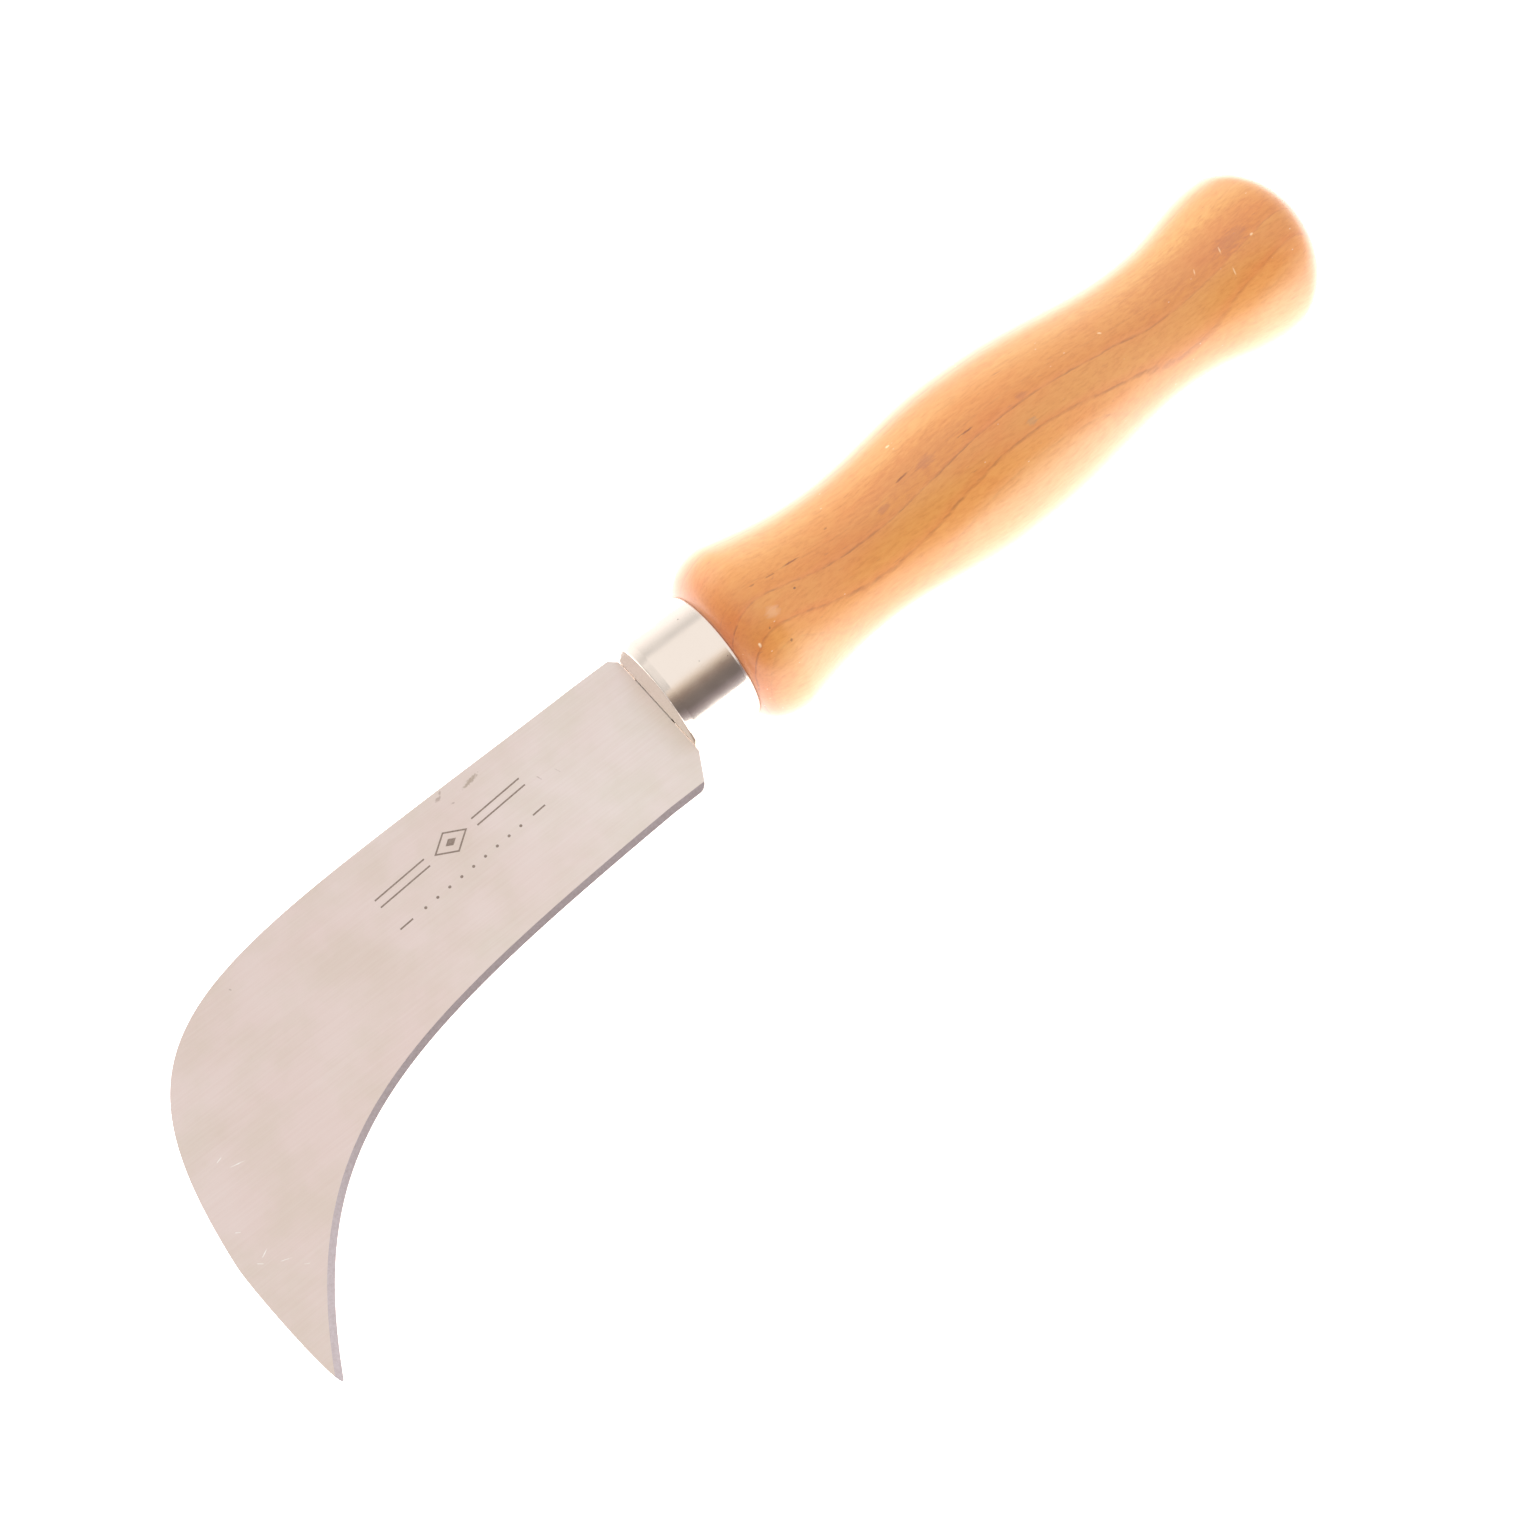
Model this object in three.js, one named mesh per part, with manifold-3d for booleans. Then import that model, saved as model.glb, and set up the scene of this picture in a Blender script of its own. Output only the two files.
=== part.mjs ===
import * as THREE from "three";
import { mergeVertices } from "three/addons/utils/BufferGeometryUtils.js";
import Module from "manifold-3d";

// Hooked hand knife for hoof and hide work: a stamped steel blade with a flat tang,
// a drawn metal ferrule and a turned hardwood handle. All sizes are in millimetres.
//
// The handle's axis is X, the blade points along -X and the butt along +X. The cutting
// edge is on the -Y side of the blade and the spine on the +Y side. x = 0 is the joint
// between ferrule and wood until the end of the file, where the whole knife is laid on
// its side with its origin under the middle.

const blade = {
  thickness: 1.5,
  reach: 95, // from the ferrule's face to the back of the hook
  spineRise: 10.3, // spine above the handle's axis
  spineCorner: 1.3, // clipped corner where the spine meets the ferrule
  heelDrop: 17.05, // heel of the cutting edge below the handle's axis
  heelStep: 0.5, // straight shoulder beyond the ferrule's side before the heel slopes away
  heelSlant: 3, // how far the heel slopes away from the ferrule
  heelRadius: 1.2,
  edgeStraight: 6, // straight run of the edge before it starts to curve
  spineStraight: 8, // straight run of the spine before it starts to curve
  backDrop: 30.9, // where the hook's back runs square to the handle
  tipDrop: 52.75, // point of the hook below the handle's axis
  tipSetback: 3.4, // point of the hook behind the hook's back
  tipRadius: 0.4,
  spineAngle: 1.2, // direction of the spine where it starts to curve, in degrees
  edgeAngle: 2.4, // direction of the edge where it leaves the heel, in degrees
  tipAngle: 67.2, // direction of the edge where it reaches the tip, in degrees
};
const grind = { width: 0.85, land: 0.16 }; // bevel on both faces and the flat left at the edge
const tang = { length: 62, rootWidth: 9, endWidth: 6.5, notches: 3, notchPitch: 12, notchRadius: 0.9 };
const ferrule = { diameter: 22.2, length: 12.25, wall: 0.8, bend: 1.4, rim: 0.35 };
const bedding = { wall: 1.1, beyondTang: 6.35 }; // resin beside the tang's root and past its end
const handle = { collarDiameter: 30.5, shoulderStep: 0.65, drillAngle: 118 };
// The grip from the collar to the butt: distance from the ferrule and diameter of each
// swell and waist. lean moves the hollow towards its start (below 1) or its end (above 1).
const collarAt = 7;
const gripStations = [
  { at: 27, diameter: 25, lean: 0.65 }, // front waist
  { at: 54.6, diameter: 30.3, lean: 1 }, // palm swell
  { at: 91, diameter: 24, lean: 1.25 }, // rear waist
  { at: 114, diameter: 30.4, lean: 1.3 }, // butt
];
const butt = { length: 9.3, fullness: 2.05 }; // dome beyond the butt's widest place
const clearance = { shoulder: 0.1, tang: 0.3, tenon: 0.1, bedding: 0.1 };

const roundSegments = 48;
const curveSteps = 40;
const sectionSteps = 8;

const seatX = -ferrule.length - clearance.shoulder; // plane of the blade's shoulders
const backX = seatX - blade.reach;
const tip = new THREE.Vector2(backX + blade.tipSetback, -blade.tipDrop);
const radians = THREE.MathUtils.degToRad;

// ---- curves of the blade ----

function direction(degrees, length) {
  return new THREE.Vector2(Math.cos(radians(degrees)), Math.sin(radians(degrees))).multiplyScalar(length);
}

// The cutting edge from the end of its straight run at the heel to the tip.
function edgeCurve() {
  const start = new THREE.Vector2(seatX - blade.heelSlant - blade.edgeStraight, -blade.heelDrop);
  const end = tip.clone().add(direction(blade.tipAngle, blade.tipRadius * 2));
  const span = start.distanceTo(end);
  const startPull = start.clone().sub(direction(blade.edgeAngle, span * 0.58));
  const endPull = end.clone().add(direction(blade.tipAngle, span * 0.36));
  return new THREE.CubicBezierCurve(start, startPull, endPull, end);
}

// The spine from the end of its straight run round the back of the hook.
function spineCurve() {
  const start = new THREE.Vector2(seatX - blade.spineStraight, blade.spineRise);
  const back = new THREE.Vector2(backX, -blade.backDrop);
  const span = start.distanceTo(back);
  const startPull = start.clone().sub(direction(blade.spineAngle, span * 0.72));
  const backPull = back.clone().add(direction(90, span * 0.467));
  return new THREE.CubicBezierCurve(start, startPull, backPull, back);
}

function backToTip() {
  const back = new THREE.Vector2(backX, -blade.backDrop);
  const nearTip = tip.clone().add(new THREE.Vector2(-blade.tipSetback * 0.4, 3));
  return new THREE.CubicBezierCurve(back, back.clone().setY(-blade.backDrop - 3), nearTip, tip.clone());
}

// One side of the tang, from the blade's shoulder to the tang's end. side is +1 on the
// spine side and -1 on the edge side. grow widens it to the space that holds the tang.
function tangSide(side, grow) {
  const points = [];
  const halfWidth = (x) =>
    grow + THREE.MathUtils.mapLinear(x, seatX, seatX + tang.length, tang.rootWidth, tang.endWidth) / 2;
  const radius = tang.notchRadius - grow;
  points.push(new THREE.Vector2(seatX, halfWidth(seatX)));
  for (let i = 0; i < tang.notches; i++) {
    const centre = seatX + tang.length - (tang.notches - i) * tang.notchPitch + tang.notchPitch / 2;
    for (let step = 0; step <= 6; step++) {
      const angle = Math.PI * (1 - step / 6);
      const x = centre + radius * Math.cos(angle);
      points.push(new THREE.Vector2(x, halfWidth(x) - radius * Math.sin(angle)));
    }
  }
  const endX = seatX + tang.length + grow;
  const chamfer = 1.5;
  points.push(new THREE.Vector2(endX - chamfer, halfWidth(endX - chamfer)));
  points.push(new THREE.Vector2(endX, halfWidth(endX) - chamfer));
  return points.map((point) => point.multiply(new THREE.Vector2(1, side)));
}

// ---- shapes ----

function bladeShape() {
  const heelX = seatX - blade.heelSlant;
  const heelCorner = new THREE.Vector2(heelX, -blade.heelDrop);
  const heelTop = new THREE.Vector2(seatX, -ferrule.diameter / 2 - blade.heelStep);
  const alongHeel = heelTop.clone().sub(heelCorner).setLength(blade.heelRadius);
  const shape = new THREE.Shape();
  const spineRoot = new THREE.Vector2(seatX, blade.spineRise - blade.spineCorner);
  shape.moveTo(spineRoot.x, spineRoot.y);
  shape.lineTo(seatX - blade.spineCorner, blade.spineRise);
  for (const point of spineCurve().getPoints(curveSteps)) shape.lineTo(point.x, point.y);
  for (const point of backToTip().getPoints(8).slice(1, -1)) shape.lineTo(point.x, point.y);
  const tipStart = tip.clone().add(new THREE.Vector2(-blade.tipRadius * 0.3, blade.tipRadius));
  shape.lineTo(tipStart.x, tipStart.y);
  const edge = edgeCurve().getPoints(curveSteps).reverse();
  const round = new THREE.QuadraticBezierCurve(tipStart, tip, edge[0]).getPoints(4).slice(1, -1);
  for (const point of [...round, ...edge]) shape.lineTo(point.x, point.y);
  const corner = new THREE.QuadraticBezierCurve(
    heelCorner.clone().add(new THREE.Vector2(-blade.heelRadius, 0)),
    heelCorner,
    heelCorner.clone().add(alongHeel),
  );
  for (const point of corner.getPoints(6)) shape.lineTo(point.x, point.y);
  shape.lineTo(heelTop.x, heelTop.y);
  for (const point of tangSide(-1, 0)) shape.lineTo(point.x, point.y);
  for (const point of tangSide(1, 0).reverse()) shape.lineTo(point.x, point.y);
  return shape;
}

// A sheet that reaches past the blade everywhere except along the cutting edge.
function grindShape() {
  const edge = edgeCurve().getPoints(curveSteps);
  const past = 6;
  const tipSide = edge[curveSteps].clone().sub(direction(blade.tipAngle, past));
  const shape = new THREE.Shape();
  shape.moveTo(seatX + tang.length + past, -blade.heelDrop);
  for (const point of edge) shape.lineTo(point.x, point.y);
  shape.lineTo(tipSide.x, tipSide.y);
  shape.lineTo(backX - past, tipSide.y);
  shape.lineTo(backX - past, blade.spineRise + past);
  shape.lineTo(seatX + tang.length + past, blade.spineRise + past);
  return shape;
}

function tangSpaceShape(grow) {
  const shape = new THREE.Shape();
  shape.moveTo(seatX - 2, -tang.rootWidth / 2 - grow);
  for (const point of tangSide(-1, grow)) shape.lineTo(point.x, point.y);
  for (const point of tangSide(1, grow).reverse()) shape.lineTo(point.x, point.y);
  shape.lineTo(seatX - 2, tang.rootWidth / 2 + grow);
  return shape;
}

function plate(shape, thickness) {
  const geometry = new THREE.ExtrudeGeometry(shape, { depth: thickness, bevelEnabled: false });
  return geometry.translate(0, 0, -thickness / 2);
}

function turned(points) {
  return new THREE.LatheGeometry(points, roundSegments).rotateZ(-Math.PI / 2);
}

// A turned profile is written as [distance along the handle, radius].
function profile(pairs) {
  return pairs.map(([x, radius]) => new THREE.Vector2(radius, x));
}

// Pairs along a circular arc; 0 degrees points to the butt and 90 away from the axis.
function arc(centreX, centreRadius, radius, fromAngle, toAngle, steps) {
  const pairs = [];
  for (let step = 0; step <= steps; step++) {
    const angle = radians(THREE.MathUtils.lerp(fromAngle, toAngle, step / steps));
    pairs.push([centreX + radius * Math.cos(angle), centreRadius + radius * Math.sin(angle)]);
  }
  return pairs;
}

// Pairs down a dome whose widest place is at x: an ellipse when fullness is 2, and
// squarer above that.
function dome(x, radius, depth, fullness, steps) {
  const pairs = [];
  for (let step = 1; step < steps; step++) {
    const angle = (step / steps) * (Math.PI / 2);
    pairs.push([x + depth * Math.sin(angle) ** (2 / fullness), radius * Math.cos(angle) ** (2 / fullness)]);
  }
  return pairs;
}

// ---- solids that need a cut ----

const wasm = await Module();
wasm.setup();

function toSolid(geometry) {
  const bare = geometry.clone();
  bare.deleteAttribute("normal");
  bare.deleteAttribute("uv");
  const merged = mergeVertices(bare, 1e-4);
  const vertProperties = new Float32Array(merged.attributes.position.array);
  const triVerts = new Uint32Array(merged.index.array);
  return new wasm.Manifold(new wasm.Mesh({ numProp: 3, vertProperties, triVerts }));
}

function toGeometry(solid) {
  const mesh = solid.getMesh();
  const geometry = new THREE.BufferGeometry();
  geometry.setAttribute("position", new THREE.BufferAttribute(mesh.vertProperties, 3));
  geometry.setIndex(new THREE.BufferAttribute(mesh.triVerts, 1));
  geometry.computeVertexNormals();
  return geometry;
}

function bladeGeometry() {
  const bevelDepth = (blade.thickness - grind.land) / 2;
  const groundSheet = new THREE.ExtrudeGeometry(grindShape(), {
    depth: grind.land,
    bevelThickness: bevelDepth,
    bevelSize: grind.width,
    bevelOffset: -grind.width,
    bevelSegments: 1,
  }).translate(0, 0, -grind.land / 2);
  return toGeometry(toSolid(plate(bladeShape(), blade.thickness)).intersect(toSolid(groundSheet)));
}

const tangSpace = plate(tangSpaceShape(clearance.tang), blade.thickness + 2 * clearance.tang);

// A cup with its closed end towards the blade, slotted for the tang.
function ferruleGeometry() {
  const outer = ferrule.diameter / 2;
  const front = -ferrule.length;
  const bendX = front + ferrule.bend;
  const bendRadius = outer - ferrule.bend;
  const cup = profile([
    [front, 0],
    ...arc(bendX, bendRadius, ferrule.bend, 180, 90, 6),
    ...arc(-ferrule.rim, outer - ferrule.rim, ferrule.rim, 90, 0, 3),
    [0, outer - ferrule.wall],
    ...arc(bendX, bendRadius, ferrule.bend - ferrule.wall, 90, 180, 3),
    [front + ferrule.wall, 0],
  ]);
  return toGeometry(toSolid(turned(cup)).subtract(toSolid(tangSpace)));
}

// ---- the wood and what fills its bore ----

const tenonFrontX = -ferrule.length + ferrule.wall + clearance.tenon;
const boreDiameter = tang.rootWidth + 2 * bedding.wall;
const boreEndX = seatX + tang.length + bedding.beyondTang;
const drillPoint = (diameter) => diameter / 2 / Math.tan(radians(handle.drillAngle / 2));

// Waists and swells between the collar and the butt, as [distance, radius].
function grip() {
  const pairs = [];
  let from = { at: collarAt, diameter: handle.collarDiameter };
  for (const to of gripStations) {
    for (let step = 1; step <= sectionSteps; step++) {
      const share = step / sectionSteps;
      const blend = (1 - Math.cos(Math.PI * share ** to.lean)) / 2;
      const x = THREE.MathUtils.lerp(from.at, to.at, share);
      pairs.push([x, THREE.MathUtils.lerp(from.diameter, to.diameter, blend) / 2]);
    }
    from = to;
  }
  return pairs;
}

// The rounded shoulder that rises out of the ferrule up to the collar.
function shoulder() {
  const low = ferrule.diameter / 2 + handle.shoulderStep;
  const rise = handle.collarDiameter / 2 - low;
  const steps = 7;
  const pairs = [];
  for (let step = 0; step <= steps; step++) {
    const angle = (step / steps) * (Math.PI / 2);
    const x = THREE.MathUtils.lerp(clearance.shoulder, collarAt, 1 - Math.cos(angle));
    pairs.push([x, low + rise * Math.sin(angle)]);
  }
  return pairs;
}

function handleGeometry() {
  const tenonRadius = ferrule.diameter / 2 - ferrule.wall - clearance.tenon;
  const tenonChamfer = ferrule.bend - ferrule.wall + 0.2;
  const buttAt = gripStations.at(-1);
  return turned(
    profile([
      [boreEndX + drillPoint(boreDiameter), 0],
      [boreEndX, boreDiameter / 2],
      [tenonFrontX, boreDiameter / 2],
      [tenonFrontX, tenonRadius - tenonChamfer],
      [tenonFrontX + tenonChamfer, tenonRadius],
      [clearance.shoulder, tenonRadius],
      ...shoulder(),
      ...grip(),
      ...dome(buttAt.at, buttAt.diameter / 2, butt.length, butt.fullness, 8),
      [buttAt.at + butt.length, 0],
    ]),
  );
}

// Hard resin round the tang, filling the drilled bore.
function beddingGeometry() {
  const diameter = boreDiameter - 2 * clearance.bedding;
  const endX = boreEndX - clearance.bedding;
  const plug = profile([
    [tenonFrontX, 0],
    [tenonFrontX, diameter / 2],
    [endX, diameter / 2],
    [endX + drillPoint(diameter), 0],
  ]);
  return toGeometry(toSolid(turned(plug)).subtract(toSolid(tangSpace)));
}

// ---- the knife ----

function piece(name, geometry, material) {
  const mesh = new THREE.Mesh(geometry, new THREE.MeshStandardMaterial(material));
  mesh.name = name;
  return mesh;
}

const knife = new THREE.Group();
knife.add(
  piece("blade", bladeGeometry(), { color: 0xd9d0ca, roughness: 0.35, metalness: 1 }),
  piece("ferrule", ferruleGeometry(), { color: 0xe3d9cc, roughness: 0.15, metalness: 1 }),
  piece("handle", handleGeometry(), { color: 0xd98f52, roughness: 0.4, metalness: 0 }),
  piece("tang_bedding", beddingGeometry(), { color: 0xc9b48a, roughness: 0.6, metalness: 0 }),
);

const extent = new THREE.Box3().setFromObject(knife);
const middle = extent.getCenter(new THREE.Vector3());
knife.position.set(-middle.x, -middle.y, -extent.min.z);

const group = new THREE.Group();
group.add(knife);

export default group;
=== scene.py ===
import math

import bmesh
import bpy
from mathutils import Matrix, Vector


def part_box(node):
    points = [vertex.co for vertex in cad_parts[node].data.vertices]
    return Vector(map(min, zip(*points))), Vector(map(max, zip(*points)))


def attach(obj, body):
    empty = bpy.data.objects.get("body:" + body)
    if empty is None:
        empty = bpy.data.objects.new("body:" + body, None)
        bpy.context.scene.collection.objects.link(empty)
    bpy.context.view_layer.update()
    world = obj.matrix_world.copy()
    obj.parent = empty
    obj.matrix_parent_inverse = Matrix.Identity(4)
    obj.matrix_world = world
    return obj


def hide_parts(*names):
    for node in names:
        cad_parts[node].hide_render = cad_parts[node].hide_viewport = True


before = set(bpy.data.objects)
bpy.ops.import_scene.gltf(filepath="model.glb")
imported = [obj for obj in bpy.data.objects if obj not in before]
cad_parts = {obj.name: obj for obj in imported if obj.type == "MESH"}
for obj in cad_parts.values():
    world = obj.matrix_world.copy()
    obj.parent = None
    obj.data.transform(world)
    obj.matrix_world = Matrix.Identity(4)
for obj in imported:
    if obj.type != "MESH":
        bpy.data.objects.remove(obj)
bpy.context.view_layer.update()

# Hooked hand knife for hoof and hide work. Sizes are in millimetres from the joint between
# ferrule and wood: x along the handle to the butt, y to the spine, z up. The studio is in metres.
mm = 0.001
ferruleLow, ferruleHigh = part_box("ferrule")
joint = Vector((
    ferruleHigh.x,
    (ferruleLow.y + ferruleHigh.y) / 2,
    (ferruleLow.z + ferruleHigh.z) / 2,
))


def place(x, y, z):
    return joint + Vector((x, y, z)) * mm


def toLinear(hexColour):  # sRGB hex to the linear colour that the shaders use
    linear = []
    for start in (1, 3, 5):
        channel = int(hexColour[start : start + 2], 16) / 255
        linear.append(channel / 12.92 if channel <= 0.04045 else ((channel + 0.055) / 1.055) ** 2.4)
    return (*linear, 1.0)


def newMaterial(name):
    material = bpy.data.materials.new(name)
    material.use_nodes = True
    material.node_tree.nodes.clear()
    return material, material.node_tree


# Adds a node. sockets: name or number of an input, with a value or the output that feeds it.
# stops: the stops of a colour ramp, each a hex colour or a grey. The rest are the node's settings.
def addNode(tree, kind, sockets=None, stops=None, **settings):
    node = tree.nodes.new(kind)
    for name, value in settings.items():
        setattr(node, name, value)
    for name, value in (sockets or {}).items():
        if isinstance(value, bpy.types.NodeSocket):
            tree.links.new(value, node.inputs[name])
        else:
            node.inputs[name].default_value = value
    if stops:
        elements = node.color_ramp.elements
        while len(elements) > len(stops):
            elements.remove(elements[-1])
        for i, (position, tone) in enumerate(stops):
            element = elements[i] if i < len(elements) else elements.new(position)
            element.position = position
            element.color = toLinear(tone) if isinstance(tone, str) else (tone, tone, tone, 1)
    return node


# Millimetres from the joint, for the patterns: a noise of scale 2 has spots of half a millimetre,
# and a stretch of 0.1 draws them out ten times along that axis.
def patternSpace(tree, stretch=(1, 1, 1)):
    coordinate = addNode(tree, "ShaderNodeTexCoord")
    return addNode(tree, "ShaderNodeMapping", {
        "Vector": coordinate.outputs["Object"],
        "Location": tuple(-joint[i] / mm * stretch[i] for i in range(3)),
        "Scale": tuple(s / mm for s in stretch),
    }).outputs["Vector"]


# Marks on a surface, each x, y, length, width, direction, strength and colour: soft spots that the
# grain makes ragged, reaching depth above and below the height z.
def addMarks(tree, space, grain, marks, colour, z, depth):
    raggedness = 1.6
    edgeFrom, edgeTo = 1.75, 1.25  # outside and inside of a spot's soft edge
    for x, y, length, width, turned, strength, tone in marks:
        local = addNode(tree, "ShaderNodeMapping", {
            "Vector": space,
            "Location": (x, y, z),
            "Rotation": (0, 0, math.radians(turned)),
            "Scale": (length / 2, width / 2, depth),
        }, vector_type="TEXTURE")
        reach = addNode(tree, "ShaderNodeVectorMath", {
            0: local.outputs["Vector"],
        }, operation="LENGTH")
        ragged = addNode(tree, "ShaderNodeMath", {
            0: grain, 1: raggedness, 2: reach.outputs["Value"],
        }, operation="MULTIPLY_ADD")
        mask = addNode(tree, "ShaderNodeMapRange", {
            "Value": ragged.outputs[0],
            "From Min": edgeFrom,
            "From Max": edgeTo,
            "To Max": strength,
        })
        colour = addNode(tree, "ShaderNodeMix", {
            0: mask.outputs["Result"], 6: colour, 7: toLinear(tone),
        }, data_type="RGBA").outputs[2]
    return colour


def buildObject(name, bm, material, sharpAngle=30):
    bmesh.ops.recalc_face_normals(bm, faces=bm.faces)
    mesh = bpy.data.meshes.new(name)
    bm.to_mesh(mesh)
    bm.free()
    mesh.polygons.foreach_set("use_smooth", [True] * len(mesh.polygons))
    mesh.set_sharp_from_angle(angle=math.radians(sharpAngle))
    thing = bpy.data.objects.new(name, mesh)
    bpy.context.scene.collection.objects.link(thing)
    thing.data.materials.append(material)
    return thing


def boolean(thing, cutter, operation):  # cuts the mesh itself and removes the cutter
    modifier = thing.modifiers.new("cut", "BOOLEAN")
    modifier.operation = operation
    modifier.solver = "EXACT"
    modifier.object = cutter
    bpy.context.view_layer.update()
    evaluated = thing.evaluated_get(bpy.context.evaluated_depsgraph_get())
    mesh = bpy.data.meshes.new_from_object(evaluated)
    thing.modifiers.clear()
    thing.data = mesh
    bpy.data.objects.remove(cutter)


# Turns a profile of (distance along the handle, radius) round the handle's axis.
def turn(profile, segments):
    bm = bmesh.new()
    angles = [2 * math.pi * i / segments for i in range(segments)]
    rings = []
    for x, radius in profile:
        if radius == 0:
            rings.append([bm.verts.new(place(x, 0, 0))] * segments)
        else:
            spots = [place(x, radius * math.cos(a), radius * math.sin(a)) for a in angles]
            rings.append([bm.verts.new(spot) for spot in spots])
    for here, there in zip(rings, rings[1:]):
        for i in range(segments):
            j = (i + 1) % segments
            corners = list(dict.fromkeys([here[i], here[j], there[j], there[i]]))  # 3 at a point
            if len(corners) > 2:
                bm.faces.new(corners)
    return bm


# Points along a quarter of an ellipse; 0 degrees points to the butt and 90 away from the axis.
def arc(centreX, centreRadius, alongRadius, outRadius, fromAngle, toAngle, steps):
    points = []
    for step in range(steps + 1):
        angle = math.radians(fromAngle + (toAngle - fromAngle) * step / steps)
        x = centreX + alongRadius * math.cos(angle)
        points.append((x, centreRadius + outRadius * math.sin(angle)))
    return points


def quadratic(start, pull, end, steps):
    points = []
    for step in range(steps + 1):
        s = step / steps
        points.append(start * (1 - s) ** 2 + pull * 2 * s * (1 - s) + end * s ** 2)
    return points


def cubic(start, startPull, endPull, end, steps):
    points = []
    for step in range(steps + 1):
        s = step / steps
        fromStart = start * (1 - s) ** 3 + startPull * 3 * s * (1 - s) ** 2
        points.append(fromStart + endPull * 3 * s * s * (1 - s) + end * s ** 3)
    return points


def direction(degrees, length):
    return Vector((math.cos(math.radians(degrees)), math.sin(math.radians(degrees)))) * length


# Camera, floor and light
viewSettings = {
    "place": (-0.064581, -0.098843, 0.238114),  # metres
    "turn": (25.5420, 5.6134, -39.0511),  # degrees
    "lens": 38.67,
    "nearest": 0.01,
}
lightSettings = {
    "world": 1.0,
    "floor": 2.6,
    "floorHalf": 4,
    # name, place, size and power of the lights that fill the wood without showing in the metal
    "softboxes": [
        ("overhead", (0, 0.1, 1.6), 1.6, 6),
        ("far_side", (-0.1, 0.55, 0.32), 0.3, 1.5),
    ],
    # cards for the metal to reflect: name, start and end on the floor, bottom, top, brightness,
    # and tones from bottom to top
    "cards": [
        ("dark_panel", (-3, -0.6), (0.42, -0.6), 0.004, 1.6, 1.0, [
            (0, 0.75), (0.03, "#CBC5CB"), (0.09, "#988F93"), (0.16, "#7A7372"), (0.26, "#7E7673"),
            (0.4, "#988A81"), (0.62, "#E4D8CB"), (0.8, "#FCF8F3"), (1, 1.0),
        ]),
        ("grey_panel", (-3, 0.6), (0.42, 0.6), 0.02, 1.0, 1.3, [
            (0, 1.0), (0.18, 0.95), (0.34, 0.78), (0.47, 0.66), (0.61, 0.57), (0.745, 0.65),
            (0.9, 0.77), (1, 0.77),
        ]),
        ("end_panel", (-0.8, -0.5), (-0.8, 1.3), 0.004, 1.3, 1.0, [
            (0, 0.7), (0.3, 0.68), (0.85, 0.62), (1, 1.0),
        ]),
    ],
}

cameraData = bpy.data.cameras.new("camera")
cameraData.lens = viewSettings["lens"]
cameraData.clip_start = viewSettings["nearest"]
camera = bpy.data.objects.new("camera", cameraData)
camera.location = viewSettings["place"]
camera.rotation_euler = [math.radians(a) for a in viewSettings["turn"]]
bpy.context.scene.collection.objects.link(camera)
bpy.context.scene.camera = camera
bpy.context.scene.view_settings.view_transform = "Standard"

world = bpy.data.worlds.new("studio")
bpy.context.scene.world = world
world.use_nodes = True
background = world.node_tree.nodes["Background"]
background.inputs["Color"].default_value = (1, 1, 1, 1)
background.inputs["Strength"].default_value = lightSettings["world"]


def addPanel(name, corners, tones, brightness, seen):  # a glowing card, graded in height
    material, tree = newMaterial(name)
    coordinate = addNode(tree, "ShaderNodeTexCoord")
    height = addNode(tree, "ShaderNodeSeparateXYZ", {"Vector": coordinate.outputs["Generated"]})
    ramp = addNode(tree, "ShaderNodeValToRGB", {"Fac": height.outputs["Z"]}, tones)
    glow = addNode(tree, "ShaderNodeEmission", {
        "Color": ramp.outputs["Color"], "Strength": brightness,
    })
    addNode(tree, "ShaderNodeOutputMaterial", {"Surface": glow.outputs["Emission"]})
    mesh = bpy.data.meshes.new(name)
    mesh.from_pydata(corners, [], [(0, 1, 2, 3)])
    panel = bpy.data.objects.new(name, mesh)
    bpy.context.scene.collection.objects.link(panel)
    mesh.materials.append(material)
    panel.visible_camera = seen


def addSoftbox(name, location, size, power):
    data = bpy.data.lights.new(name, "AREA")
    data.shape = "SQUARE"
    data.size = size
    data.energy = power
    softbox = bpy.data.objects.new(name, data)
    softbox.location = location
    softbox.rotation_euler = Vector(location).to_track_quat("Z", "Y").to_euler()
    softbox.visible_glossy = False
    softbox.visible_camera = False
    bpy.context.scene.collection.objects.link(softbox)


half = lightSettings["floorHalf"]
floorCorners = [(-half, -half, 0), (half, -half, 0), (half, half, 0), (-half, half, 0)]
addPanel("floor", floorCorners, [(0, 1.0), (1, 1.0)], lightSettings["floor"], True)
for name, start, end, bottom, top, brightness, tones in lightSettings["cards"]:
    corners = [(*start, bottom), (*end, bottom), (*end, top), (*start, top)]
    addPanel(name, corners, tones, brightness, False)
for name, location, size, power in lightSettings["softboxes"]:
    addSoftbox(name, location, size, power)
print("studio ready")

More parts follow.
